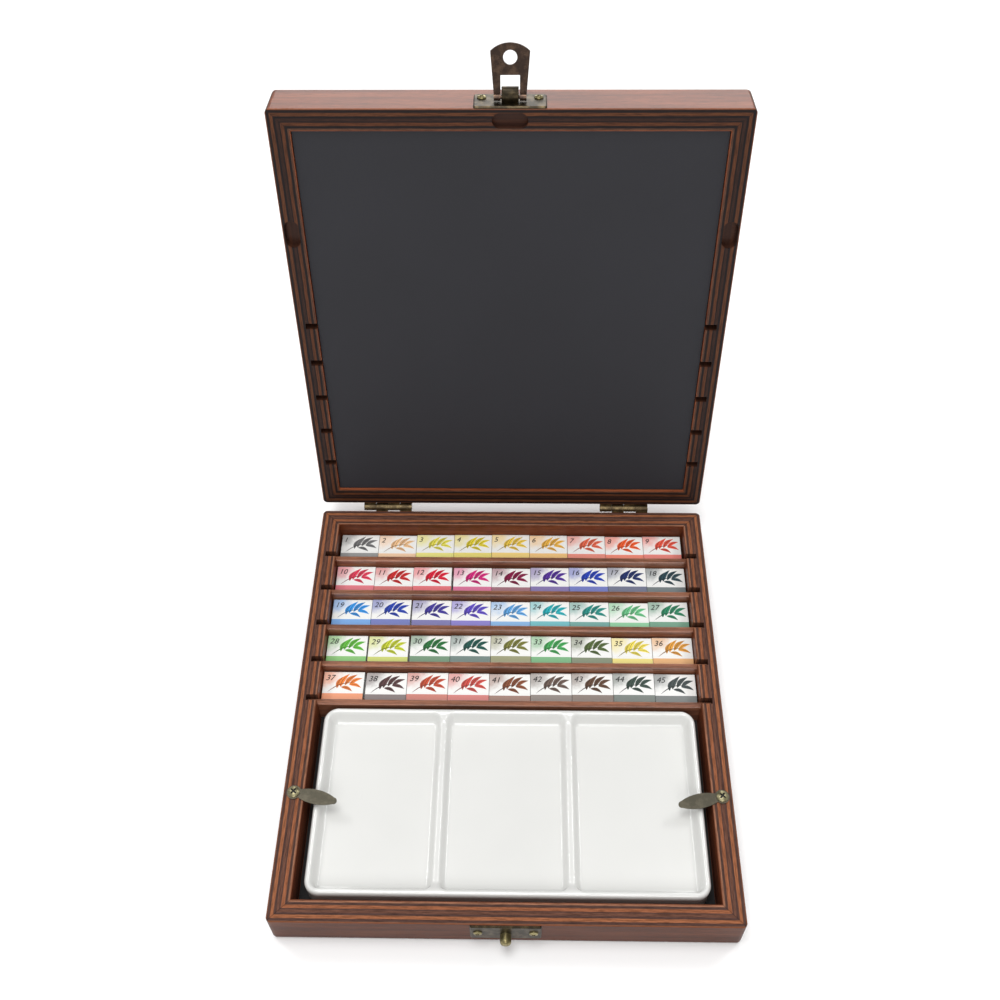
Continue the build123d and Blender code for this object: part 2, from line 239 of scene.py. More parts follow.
# %% [markdown]
# The walls are plywood, stained mahogany. Their rims show the plies as stripes: the face
# plies are thin and orange, the cross plies dark, and a light band near the inner edge is
# partly a pale ply and partly a painted highlight on the rounded edge. A stripe depends only
# on how deep into the wall it lies, and that depth is the lesser of the distances to the side
# and to the end of the box, so the stripes turn the mitred corners by themselves, and a dark
# line of glue marks each mitre. Only cut wood shows stripes, and the faces show long grain
# under a lacquer. The base's rims are worn, and the rims are lighter along their outer top
# edge, partly rubbed wear and partly a painted highlight. The lid's rims are much darker. Its
# faces are painted lighter and the base's faces darker, as painted light and shade for how
# they face the lamps in the open box, and the recesses in the rims are darkened with painted
# shade. The lid's wood is worked out in the shut box, so a Mapping node first turns its
# coordinates shut.

# %% Plywood
# Plies from the outer face inwards, as (end, red, green, blue); the light band that ends at 0.96 is partly
# a pale ply and partly a painted highlight on the rounded inner edge.
PLIES_AND_EDGE_HIGHLIGHT = ((0.05, 120, 74, 48), (0.18, 54, 38, 38), (0.33, 156, 94, 58), (0.43, 50, 36, 38),
         (0.56, 92, 58, 46), (0.62, 54, 38, 38), (0.77, 150, 88, 54), (0.89, 52, 38, 38),
         (0.96, 158, 108, 82), (1.00, 118, 68, 42))
PLY_EDGE = 0.018
PLY_WANDER = 0.05
FACE_WOOD = ((0.28, 74, 38, 24), (0.5, 100, 52, 31), (0.72, 120, 66, 40))
WORN_RIM = (114, 82, 68)
# Painted shade: recesses in the rims are darkened towards this colour.
RECESS_SHADE = (66, 40, 30)
SEAM_GLUE = (30, 20, 18)
# Lighter colour for the rims' outer top edge: partly rubbed wear, partly a painted highlight.
RUBBED_EDGE_AND_HIGHLIGHT = (150, 92, 62)
RIM_TONE = {"base": 0.95, "lid": 0.26}
RIM_WEAR = {"base": 0.3, "lid": 0.0}
# Painted light and shade: the open lid's faces are made lighter and the base's faces darker, for how they
# face the lamps.
FACE_LIGHT_AND_SHADE = {"base": 0.76, "lid": 1.5}
INNER_FACE_TONE = 0.5
GLOSS = {"base": 0.1, "lid": 0.14}
SHEEN = {"base": 0.05, "lid": 0.15}
# Where cut wood starts and ends, as ranges of depth into the wall and below the rim.
CUT_STARTS = (0.15, 0.45)
CUT_ENDS = (9.1, 9.4)
INNER_FACE = (9.2, 9.5)
CUT_BOTTOM = (17.4, 18.0)
# Depth below the rim where the painted recess shade sets in.
RECESS_SHADE_DEPTH = (0.2, 0.5)
SEAM_WIDTH = (0.05, 0.2)


def ply_stops():
    """Two ramp stops for each ply, with a narrow soft edge between neighbours."""
    stops, start = [], 0.0
    for end, *colour in PLIES_AND_EDGE_HIGHLIGHT:
        stops.append((start + PLY_EDGE, tint(*colour)))
        stops.append((end - PLY_EDGE, tint(*colour)))
        start = end
    return stops


def shut_box_mm(finish, body):
    """Coordinates in the shut box, in millimetres: the lid's are turned back about the hinge pin."""
    if body == "base":
        return finish.object_mm()
    angle = math.radians(OPEN_ANGLE)
    c, s = math.cos(angle), math.sin(angle)
    home = (0.0, pin_y - (c * pin_y - s * pin_z), pin_z - (s * pin_y + c * pin_z))
    place = finish.add("ShaderNodeTexCoord", output="Object")
    shut = finish.add("ShaderNodeMapping", {}, {"Vector": place, "Location": home,
                                                "Rotation": (angle, 0, 0)})
    return finish.split(finish.add("ShaderNodeMapping", {}, {"Vector": shut, "Scale": TO_MM}))


def plywood(name, body, along_x):
    """Stained plywood wall whose grain runs along x or along y; the lid's rims are darker, and its faces
    carry painted light.
    """
    finish = Finish(name, Specular_IOR_Level=SHEEN[body], Coat_Roughness=0.14)
    x, y, z = shut_box_mm(finish, body)
    along = x if along_x else y
    inward = (half_width - abs(x)).least(half_depth - abs(y))
    below_rim = base_height - z if body == "base" else z - lid_rim
    slow = finish.noise(finish.vector(along * 0.014, inward * 0.35, z * 0.22), detail=4)
    pores = finish.noise(finish.vector(along * 0.16, inward * 2.6, z * 2.6), detail=3, roughness=0.7)
    fine = finish.noise(finish.vector(along * 0.05, inward * 5.0, z * 5.0), detail=2)

    face = finish.ramp(slow, *[(place, tint(*colour)) for place, *colour in FACE_WOOD])
    # Face tone: painted light on the lid's faces and painted shade on the base's, with the inner faces
    # lighter still.
    tone = finish.between(inward, *INNER_FACE) * INNER_FACE_TONE + FACE_LIGHT_AND_SHADE[body]
    face = finish.mix(1.0, face, (finish.between(pores, 0.30, 0.62) * 0.45 + 0.62) * tone, "MULTIPLY")

    wander = (finish.noise(finish.vector(along * 0.05, inward * 0.1, z * 0.1)) - 0.5) * PLY_WANDER
    stripes = finish.ramp(inward / WALL + wander, *ply_stops())
    stripes = finish.mix(RIM_WEAR[body], stripes, tint(*WORN_RIM))
    streaks = ((finish.between(fine, 0.25, 0.75) * 0.55 + 0.7)
               * (finish.between(pores, 0.32, 0.62) * 0.7 + 0.6) * RIM_TONE[body])
    stripes = finish.mix(1.0, stripes, streaks, "MULTIPLY")

    cut = (finish.between(inward, *CUT_STARTS) * (1 - finish.between(inward, *CUT_ENDS))
           * (1 - finish.between(below_rim, *CUT_BOTTOM)))
    mitre = abs((half_width - abs(x)) - (half_depth - abs(y)))
    seam = (1 - finish.between(mitre, *SEAM_WIDTH)) * cut
    # Lighter along the outer top edge of the rims: partly rubbed wear, partly a painted highlight.
    rubbed_and_highlight = (1 - finish.between(below_rim, 0.0, 0.9)) * (1 - finish.between(inward, 0.0, 0.8))
    colour = finish.mix(cut, face, stripes)
    # Painted shade: cut wood below the rim, in the recesses, is darkened.
    colour = finish.mix(finish.between(below_rim, *RECESS_SHADE_DEPTH) * cut * 0.75, colour, tint(*RECESS_SHADE))
    colour = finish.mix(seam * 0.8, colour, tint(*SEAM_GLUE))
    colour = finish.mix(rubbed_and_highlight * 0.5, colour, tint(*RUBBED_EDGE_AND_HIGHLIGHT))
    finish.surface(Base_Color=colour, Roughness=cut * 0.16 + (fine * 0.12 + 0.3),
                   Coat_Weight=(1 - cut * 0.5) * GLOSS[body])
    finish.bump(pores * 0.6 + fine * 0.4, 0.28, 0.12)
    return finish


for body in ("base", "lid"):
    plywood(body + "_ply_across", body, True).put_on(body + "_wall_front", body + "_wall_back")
    plywood(body + "_ply_along", body, False).put_on(body + "_wall_left", body + "_wall_right")
plywood("base_panel_ply", "base", False).put_on("base_floor_panel")
print("plies:", len(PLIES_AND_EDGE_HIGHLIGHT))


# %% [markdown]
# The lid's top is one veneered panel with a broader figure than the walls, and the dividers
# are thin strips whose top edges take the light. Both use the same long grain.

# %% Panel and dividers
def strip_wood(name, dark, light, body, along_x, width):
    """Long-grained wood between two tones; width is the figure's width in millimetres."""
    finish = Finish(name, Coat_Roughness=0.2, Coat_Weight=0.3)
    x, y, z = shut_box_mm(finish, body)
    along, aside = (x, y) if along_x else (y, x)
    figure = finish.noise(finish.vector(along * 0.02, aside / width, z / width), detail=5, roughness=0.6)
    pores = finish.noise(finish.vector(along * 0.14, aside * 2.4, z * 2.4), detail=3, roughness=0.7)
    colour = finish.ramp(figure, (0.3, tint(*dark)), (0.7, tint(*light)))
    colour = finish.mix(1.0, colour, finish.between(pores, 0.3, 0.62) * 0.5 + 0.6, "MULTIPLY")
    finish.surface(Base_Color=colour, Roughness=pores * 0.2 + 0.28)
    finish.bump(pores, 0.3, 0.12)
    return finish


veneer = strip_wood("lid_top_veneer", (92, 44, 30), (142, 78, 52), "lid", along_x=False, width=9.0)
veneer.put_on("lid_top_panel")
divider_wood = strip_wood("divider_wood", (100, 60, 43), (164, 106, 77), "base", along_x=True, width=2.2)
divider_wood.put_on(*["divider_" + str(number) for number in range(1, 6)])
print("wood materials:", len(bpy.data.materials))


# %% [markdown]
# The linings are card. The lid's is slate grey and almost smooth, with a faint tooth, and
# the base's is black and shows only as a dark gap round the palette.

# %% Linings
def card(name, colour, lighter):
    """Matt card with a faint cloudy tone and a fine tooth."""
    finish = Finish(name)
    x, y, z = finish.object_mm()
    cloud = finish.noise(finish.vector(x * 0.02, y * 0.02, z * 0.02), detail=2)
    tooth = finish.noise(finish.vector(x * 3.0, y * 3.0, z * 3.0), detail=2)
    shade = finish.mix(cloud, tint(*colour), tint(*lighter))
    shade = finish.mix(1.0, shade, tooth * 0.3 + 0.85, "MULTIPLY")
    finish.surface(Base_Color=shade, Roughness=tooth * 0.15 + 0.62)
    finish.bump(tooth, 0.18, 0.1)
    return finish


card("slate_lining", (25, 25, 31), (31, 31, 38)).put_on("lid_lining_card")
card("black_lining", (20, 19, 20), (27, 26, 27)).put_on("base_floor_lining")
card("dark_foam", (40, 40, 44), (52, 52, 56)).put_on("lid_foam_pad")
print("materials with the cards:", len(bpy.data.materials))


# %% [markdown]
# The fittings are pressed brass with an antique finish: dark olive-brown in the hollows,
# yellower where hands rub it. The screws are brighter than the plates, and those of the turn
# buttons have a dark cross of painted shade in their recess, which is drawn on as a mask.

# %% Brass
METAL = 0.88
BUTTON_SCREW_X = 95.2
CROSS_TURN = math.radians(50.0)
CROSS_HALF_WIDTH = (0.34, 0.44)
CROSS_REACH = (1.5, 1.65)
# Near-black painted shade in the cross recess of the turn buttons' screws.
CROSS_SHADE = (22, 20, 18)
screw_low, screw_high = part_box("turn_button_screws")
button_screw_y = (screw_low[1] + screw_high[1]) / 2 / MM


def cross_mask(finish, x, y):
    """1 in the cross of a turn button's screw, whose recess is painted dark as shade: two narrow arms,
    turned about the screw's middle.
    """
    across = x - finish.maths("SIGN", x) * BUTTON_SCREW_X
    along = y - button_screw_y
    c, s = math.cos(CROSS_TURN), math.sin(CROSS_TURN)
    first, second = abs(across * c + along * s), abs(along * c - across * s)
    narrow = 1 - finish.between(first.least(second), *CROSS_HALF_WIDTH)
    short = 1 - finish.between(first.most(second), *CROSS_REACH)
    return narrow * short


def brass(name, dark, worn, shine, painted_recess_shade=None):
    """Antiqued metal that wanders between a dark and a worn tone; the last argument gives a mask of painted
    shade in a recess.
    """
    finish = Finish(name, Metallic=METAL)
    x, y, z = finish.object_mm()
    place = finish.vector(x, y, z)
    patina = finish.noise(place, scale=0.32, detail=4)
    grit = finish.noise(place, scale=3.2, detail=3)
    wear = finish.between(patina + (grit - 0.5) * 0.5, 0.38, 0.72)
    colour = finish.mix(wear, tint(*dark), tint(*worn))
    if painted_recess_shade:
        # Painted shade: the recess under the mask is darkened near black and made less metallic.
        mask = painted_recess_shade(finish, x, y)
        colour = finish.mix(mask, colour, tint(*CROSS_SHADE))
        finish.surface(Metallic=METAL - mask * 0.8)
    finish.surface(Base_Color=colour, Roughness=shine + (grit - 0.5) * 0.2 + (1 - wear) * 0.08)
    finish.bump(grit, 0.12, 0.08)
    return finish


plate_finish = brass("plate_brass", (50, 44, 34), (84, 72, 52), 0.34)
plate_finish.put_on("latch_plate", "catch_plate")
brass("button_brass", (92, 88, 76), (120, 114, 98), 0.3).put_on("left_turn_button", "right_turn_button")
brass("hinge_brass", (74, 62, 44), (116, 100, 70), 0.36).put_on(
    *[side + "_hinge_" + piece for side in ("left", "right") for piece in ("base_leaf", "lid_leaf", "pin")])
brass("hasp_brass", (60, 48, 42), (98, 78, 64), 0.28).put_on("hasp", "hasp_pin")
brass("screw_brass", (118, 108, 74), (170, 160, 118), 0.28).put_on(
    "catch_screws", "latch_screws", "hinge_screws_base", "hinge_screws_lid", "catch_knob")
brass("button_screw_brass", (132, 126, 96), (176, 168, 132), 0.32, cross_mask).put_on("turn_button_screws")
print("materials with the brass:", len(bpy.data.materials))


# %% [markdown]
# Three pieces are made here rather than in CAD: the latch's tongue, the palette and the
# paper of the half pans. All are grids of points, so two functions turn a grid into faces
# and faces into a piece that rides on its body.

# %% Grid meshes
def mesh_piece(name, points, faces, finish, body):
    """Make an object from an array of points (metres) and a list of faces, and ride it on a body."""
    mesh = bpy.data.meshes.new(name)
    mesh.from_pydata(points.reshape(-1, 3).tolist(), [], faces)
    mesh.polygons.foreach_set("use_smooth", [True] * len(mesh.polygons))
    mesh.materials.append(finish.material)
    mesh.update()
    piece = bpy.data.objects.new(name, mesh)
    bpy.context.scene.collection.objects.link(piece)
    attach(piece, body)
    return piece


def grid_faces(rows, columns, closed=False):
    """Quads between neighbouring points of a grid; closed joins the last column to the first."""
    last = columns if closed else columns - 1
    row, column = np.meshgrid(np.arange(rows - 1), np.arange(last), indexing="ij")
    after = (column + 1) % columns
    quads = [row * columns + column, row * columns + after,
             (row + 1) * columns + after, (row + 1) * columns + column]
    return np.stack(quads, -1).reshape(-1, 4)


print("a grid of 3 by 4 points has", len(grid_faces(3, 4)), "faces")

# %% [markdown]
# The latch plate's tongue is bent up out of the sheet, curls round the hasp's pin and comes
# back down, so it stands through the hasp's window. Its section is a rounded arch: a strip of
# sheet carried along the outline, with straight legs and a half-ellipse on top. It is worked
# out in the shut box and then turned open with the lid.

# %% Tongue of the latch
TONGUE_WIDTH = 6.9
TONGUE_HALF_DEPTH = 2.4
TONGUE_HEIGHT = 6.2
TONGUE_SHEET = 0.9
PLATE_SURFACE = 0.81
HASP_PIN_RISE = 5.0
# Each corner of the strip's section: its place across the width, and how far it draws in.
STRIP_CORNERS = np.array([[-1.0, 0.25], [-0.92, 0.0], [0.92, 0.0], [1.0, 0.25]])


def arch(half, height, steps=24):
    """Points (across, out) of an arch: up one leg, over a half-ellipse and down the other leg."""
    turn = np.linspace(math.pi, 0, steps)
    crown = np.stack([half * np.cos(turn), height - half + half * np.sin(turn)], -1)
    return np.concatenate([[[-half, 0.0]], crown, [[half, 0.0]]])


def opened(points):
    """Turn points of the shut box, in metres, about the hinge pin to where the lid stands open."""
    angle = math.radians(-OPEN_ANGLE)
    y, z = points[..., 1] - pin_y, points[..., 2] - pin_z
    turned = points.copy()
    turned[..., 1] = pin_y + y * math.cos(angle) - z * math.sin(angle)
    turned[..., 2] = pin_z + y * math.sin(angle) + z * math.cos(angle)
    return turned


def tongue_strip():
    """Points and faces of the strip: its section carried along the arch, with both feet closed."""
    outer = arch(TONGUE_HALF_DEPTH, TONGUE_HEIGHT)
    inner = arch(TONGUE_HALF_DEPTH - TONGUE_SHEET, TONGUE_HEIGHT - TONGUE_SHEET)
    middle = (outer + inner) / 2
    side, draw = STRIP_CORNERS.T
    rings = [middle + (outer - middle) * (1 - inset) for inset in draw]
    rings += [middle + (inner - middle) * (1 - inset) for inset in draw[::-1]]
    rings = np.stack(rings, 1)
    points = np.empty((*rings.shape[:2], 3))
    points[..., 0] = np.concatenate([side, side[::-1]]) * TONGUE_WIDTH / 2
    points[..., 1] = -half_depth - PLATE_SURFACE - rings[..., 1]
    points[..., 2] = lid_rim + HASP_PIN_RISE + rings[..., 0]
    corners = np.arange(rings.shape[0] * rings.shape[1]).reshape(rings.shape[:2])
    faces = grid_faces(*corners.shape, closed=True).tolist()
    return points, [*faces, corners[0, ::-1].tolist(), corners[-1].tolist()]


tongue_points, tongue_faces = tongue_strip()
tongue = mesh_piece("latch_tongue", opened(tongue_points * MM), tongue_faces, plate_finish, "lid")
print("tongue:", len(tongue_faces), "faces")

# %% [markdown]
# The palette is a slip-cast tray under a thick white glaze. Everything on it is soft: the
# rim rolls over, the wells sink with a slow curve and the two ridges melt into the rim. So
# its top is one height field over a rounded rectangle rather than cut boxes. A square grid
# covers the top, and each point's height comes from how far it lies inside the nearest well.
# Rings run from the grid's border down the side to the foot.

# %% Palette
glaze = Finish("white_glaze", Coat_Weight=0.6, Coat_Roughness=0.04, Specular_IOR_Level=0.55)
x, y, z = glaze.object_mm()
ripple = glaze.noise(glaze.vector(x, y, z), scale=0.045, detail=1)
speck = glaze.noise(glaze.vector(x, y, z), scale=0.6, detail=2)
glaze.surface(Base_Color=glaze.mix(ripple, tint(226, 226, 223), tint(221, 221, 218)),
              Roughness=speck * 0.08 + 0.1)
glaze.bump(ripple, 0.35, 0.6)
palette_low, palette_high = (np.array(corner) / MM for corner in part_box("palette"))
tray_half = (palette_high[:2] - palette_low[:2]) / 2
tray_middle = (palette_high[:2] + palette_low[:2]) / 2
TRAY_CORNER = 6.6
WELL_CORNER = 4.0
WELL_DEPTH = 6.2
WELL_SLOPE = 3.2
RIM_WIDTH = 2.2
RIDGES = np.array([-30.6, 27.8])
RIDGE_HALF = 0.9
RIDGE_DROP = 2.0
SADDLE_WIDTH = 4.5
SADDLE_RUN = 7.0
SIDE_ROUND = 1.6
FOOT_ROUND = 2.5
# A quarter round stops just short of upright, so that no face folds over.
QUARTER = 0.98
COLUMNS, ROWS = 261, 141
SIDE_RINGS = 9


def rounded_outline(half_x, half_y, corner, steps):
    """Points round a rectangle with round corners, anticlockwise, evenly spaced by angle on each corner."""
    turn = np.linspace(0, math.pi / 2, steps)
    sides = [(half_x - corner, half_y - corner, 0), (-half_x + corner, half_y - corner, 1),
             (-half_x + corner, -half_y + corner, 2), (half_x - corner, -half_y + corner, 3)]
    parts = []
    for centre_x, centre_y, quarter in sides:
        angle = turn + quarter * math.pi / 2
        parts.append(np.stack([centre_x + corner * np.cos(angle), centre_y + corner * np.sin(angle)], -1))
    return np.concatenate(parts)


def smooth_step(value, low, high):
    """0 below low, 1 above high and an S-curve between them."""
    share = np.clip((value - low) / (high - low), 0, 1)
    return share * share * (3 - 2 * share)


def quarter_round(radius, share):
    """How far a round edge has drawn back, from 0 at share 0 to nearly its radius at share 1."""
    return radius * (1 - np.sqrt(1 - np.clip(share, 0, 1) ** 2 * QUARTER))


def inside_rectangle(points, half_x, half_y, corner):
    """How far each point lies inside a rectangle with round corners (negative outside)."""
    reach = np.abs(points) - np.array([half_x - corner, half_y - corner])
    outside = np.linalg.norm(np.maximum(reach, 0), axis=-1)
    return corner - outside - np.minimum(np.max(reach, axis=-1), 0)


def well_sink(inside):
    """Depth of a well, 0 to 1: steep under the lip, then a long curve that lands on the flat floor."""
    share = np.clip(inside / WELL_SLOPE, 0, 1)
    return 1 - (1 - share ** 1.5) ** 2.2


def tray_height(points):
    """Height of the glaze: rim height, less the sink of whichever well the point lies in."""
    top = palette_high[2] - palette_low[2]
    edge = inside_rectangle(points, tray_half[0], tray_half[1], TRAY_CORNER)
    lefts = [-tray_half[0] + RIM_WIDTH, *(RIDGES + RIDGE_HALF)]
    rights = [*(RIDGES - RIDGE_HALF), tray_half[0] - RIM_WIDTH]
    deepest = np.zeros(points.shape[:-1])
    for left, far in zip(lefts, rights):
        local = points - np.array([(left + far) / 2, 0])
        inside = inside_rectangle(local, (far - left) / 2, tray_half[1] - RIM_WIDTH, WELL_CORNER)
        deepest = np.maximum(deepest, well_sink(inside))
    ridge = np.min(np.abs(points[..., :1] - RIDGES), axis=-1)
    saddle = (RIDGE_DROP * (1 - smooth_step(ridge, RIDGE_HALF * 0.5, SADDLE_WIDTH))
              * smooth_step(edge, RIM_WIDTH * 0.7, SADDLE_RUN))
    return top - saddle - (WELL_DEPTH - saddle) * deepest - quarter_round(SIDE_ROUND, 1 - edge / SIDE_ROUND)


def tray_top():
    """A square grid drawn in towards the round corners, so that its border is the tray's outline."""
    square = np.stack(np.meshgrid(np.linspace(-1, 1, COLUMNS), np.linspace(-1, 1, ROWS)), -1)
    reach = square * tray_half
    corner_middle = tray_half - TRAY_CORNER
    past = np.maximum(np.abs(reach) - corner_middle, 0)
    length = np.maximum(np.linalg.norm(past, axis=-1, keepdims=True), 1e-9)
    in_corner = (past > 0).all(-1, keepdims=True)
    fit = np.where(in_corner, np.max(past, axis=-1, keepdims=True) / length, 1.0)
    flat = np.sign(reach) * (np.minimum(np.abs(reach), corner_middle) + past * fit)
    return np.dstack([flat, tray_height(flat)]).reshape(-1, 3)


def grid_border(rows, columns):
    """Numbers of the points round a grid's border, anticlockwise from its first point."""
    return np.concatenate([np.arange(columns), np.arange(1, rows) * columns + columns - 1,
                           (rows - 1) * columns + np.arange(columns - 2, -1, -1),
                           np.arange(rows - 2, 0, -1) * columns])


def tray_side(rim):
    """Rings from the rim down to the table, drawn in by a quarter round at the foot."""
    outward = rim[:, :2] / np.linalg.norm(rim[:, :2], axis=-1, keepdims=True)
    share = np.linspace(0.15, 1, SIDE_RINGS)[:, None]
    height = rim[:, 2] - rim[:, 2] * share
    rings = np.repeat(rim[None], SIDE_RINGS, axis=0)
    rings[..., :2] -= outward * quarter_round(FOOT_ROUND, 1 - height / FOOT_ROUND)[..., None]
    rings[..., 2] = height
    return rings.reshape(-1, 3)


tray_points = tray_top()
border = grid_border(ROWS, COLUMNS)
foot_middle = np.zeros((1, 3))
tray_points = np.concatenate([tray_points, tray_side(tray_points[border]), foot_middle])
tray_points += [*tray_middle, palette_low[2]]
rings = np.arange(ROWS * COLUMNS, len(tray_points) - 1).reshape(SIDE_RINGS, -1)
ring = np.concatenate([border[None], rings])
after = np.roll(ring, -1, axis=1)
side_faces = np.stack([ring[1:], after[1:], after[:-1], ring[:-1]], -1).reshape(-1, 4)
foot_faces = np.stack([after[-1], ring[-1], np.full(len(border), len(tray_points) - 1)], -1)
tray_faces = grid_faces(ROWS, COLUMNS).tolist() + side_faces.tolist() + foot_faces.tolist()
tray = mesh_piece("glazed_palette", tray_points * MM, tray_faces, glaze, "base")
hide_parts("palette")
print("palette:", len(tray_faces), "faces")

# %% [markdown]
# Each half pan is a small plastic tub in a paper band. The bands carry the box's colour: a
# wash in the paint's own hue, a spray of leaves, a colour strip along the front edge and a
# plain number. The hues are listed row by row, from whites and yellows at the
# hinges to earths and greys by the palette.

# %% Paint hues
HUES = (
    ((120, 120, 120), (250, 200, 150), (240, 230, 90), (240, 220, 60), (250, 210, 80),
     (250, 190, 80), (240, 110, 80), (250, 100, 50), (240, 90, 70)),
    ((230, 60, 90), (210, 40, 40), (230, 30, 60), (220, 40, 130), (140, 20, 70),
     (90, 50, 160), (40, 70, 190), (30, 50, 110), (40, 70, 80)),
    ((50, 150, 230), (40, 70, 180), (70, 60, 160), (100, 80, 200), (100, 170, 230),
     (40, 180, 190), (40, 150, 140), (110, 200, 140), (40, 140, 100)),
    ((100, 190, 60), (200, 210, 50), (40, 120, 60), (30, 90, 80), (130, 130, 60),
     (70, 170, 90), (90, 110, 60), (240, 220, 90), (230, 160, 60)),
    ((240, 130, 50), (90, 60, 60), (200, 80, 50), (210, 80, 70), (140, 80, 50),
     (110, 90, 80), (100, 70, 50), (60, 80, 70), (70, 80, 80)),
)
PANS = 9
PAN_PITCH = 19.9
PAN_LENGTH = 19.7
EXTRA_GAPS = {2: {3: 0.9}, 3: {2: 0.6}, 4: {1: 0.6, 2: 0.8}, 5: {1: 0.9}}
STAGGER = np.array([0.1, -0.4, 0.3, -0.1, 0.5, -0.3, 0.2, -0.5, 0.0])
PAN_DEPTH = 16.0


def pan_middles(row):
    """Middle of each pan of a row along x, in millimetres, with the row's wider gaps."""
    gaps = np.array([EXTRA_GAPS.get(row, {}).get(pan, 0.0) for pan in range(1, PANS + 1)])
    shifts = np.concatenate([[0.0], np.cumsum(gaps)[:-1]])
    return -PAN_PITCH * (PANS - 1) / 2 - gaps.sum() / 2 + np.arange(PANS) * PAN_PITCH + shifts


def pan_steps(row):
    """How far each pan of a row stands behind the middle of its compartment, in millimetres."""
    return STAGGER[(2 * np.arange(1, PANS + 1) + 3 * row) % len(STAGGER)]


print("half pans:", sum(len(row) for row in HUES))

# %% [markdown]
# The paper's pattern is drawn by its own coordinates: u runs along the pan and v across its
# top, from 0 at the front edge to 1 at the back. The strip is where v is low, and the wash
# blooms from one corner with a ragged edge. A colour attribute carries each pan's hue, so
# one material serves all five rows.

# %% Label paper
paper = Finish("label_paper", Coat_Weight=0.25, Coat_Roughness=0.2)
label = paper.add("ShaderNodeUVMap", {"uv_map": "label"})
u, v = paper.split(label)[:2]
hue = paper.add("ShaderNodeAttribute", {"attribute_name": "hue"}, output="Color")
x, y, z = paper.object_mm()
fibre = paper.noise(paper.vector(x, y, z), scale=1.6, detail=3)
bloom = paper.noise(paper.vector(x, y, z), scale=0.16, detail=4, roughness=0.7)
white = paper.mix(fibre, tint(246, 246, 243), tint(238, 238, 235))
corner_distance = (u * u * 1.4 + (1 - v) * (1 - v)) + (bloom - 0.5) * 0.5
wash = (1 - paper.between(corner_distance, 0.02, 0.42)) * paper.between(v, 0.24, 0.3)
pale_hue = paper.mix(0.2, hue, tint(238, 238, 234))
strip = 1 - paper.between(v, 0.235, 0.25)
line = paper.between(v, 0.225, 0.235) * strip
colour = paper.mix(wash * 0.6, white, hue)
colour = paper.mix(strip, colour, pale_hue)
colour = paper.mix(line * 0.8, colour, hue)
paper.surface(Base_Color=colour, Roughness=fibre * 0.2 + 0.35)
paper.bump(fibre, 0.12, 0.1)

ink = Finish("label_ink", Roughness=0.42)
ink_hue = ink.add("ShaderNodeAttribute", {"attribute_name": "hue"}, output="Color")
x, y, z = ink.object_mm()
drag = ink.noise(ink.vector(x, y, z), scale=0.9, detail=3)
ink.surface(Base_Color=ink.mix(1.0, ink_hue, drag * 0.5 + 0.7, "MULTIPLY"))

number_ink = Finish("number_ink", Roughness=0.45)
x, y, z = number_ink.object_mm()
grain = number_ink.noise(number_ink.vector(x, y, z), scale=2.0)
number_ink.surface(Base_Color=number_ink.mix(grain, tint(22, 21, 22), tint(44, 43, 44)))


def give_hue(mesh, colours):
    """Store one colour for each vertex."""
    attribute = mesh.color_attributes.new("hue", "FLOAT_COLOR", "POINT")
    attribute.data.foreach_set("color", np.asarray(colours, np.float32).ravel())


print("paper nodes:", len(paper.tree.nodes))

# %% [markdown]
# A band is a loop of paper round the pan's short section, carried along its length. The
# loop is a rounded rectangle whose top is a little crowned, as paper is over a full pan. A
# Solidify modifier then gives the paper its thickness inwards.

# %% Paper bands
BAND_CORNER = 0.7
CROWN = 0.12
PAPER = 0.22
TOP_STEPS = 11
# Places along a pan, as shares of its length, where the band has a ring of points.
BAND_RINGS = np.array([-0.5, -0.49, 0.0, 0.49, 0.5])


def band_section(depth, height, steps=5):
    """Section loop (y, z) anticlockwise from the back, with each point's share of the depth."""
    loop = rounded_outline(depth / 2, height / 2, BAND_CORNER, steps)
    spread = np.linspace(-1, 1, TOP_STEPS + 2)[1:-1]
    top = np.stack([-spread * (depth / 2 - BAND_CORNER), np.full(TOP_STEPS, height / 2)], -1)
    loop = np.concatenate([loop[:steps], top, loop[steps:]])
    loop[:, 1] += np.where(loop[:, 1] > height / 2 - 0.01, CROWN * (1 - (2 * loop[:, 0] / depth) ** 2), 0)
    return loop, loop[:, 0] / depth + 0.5


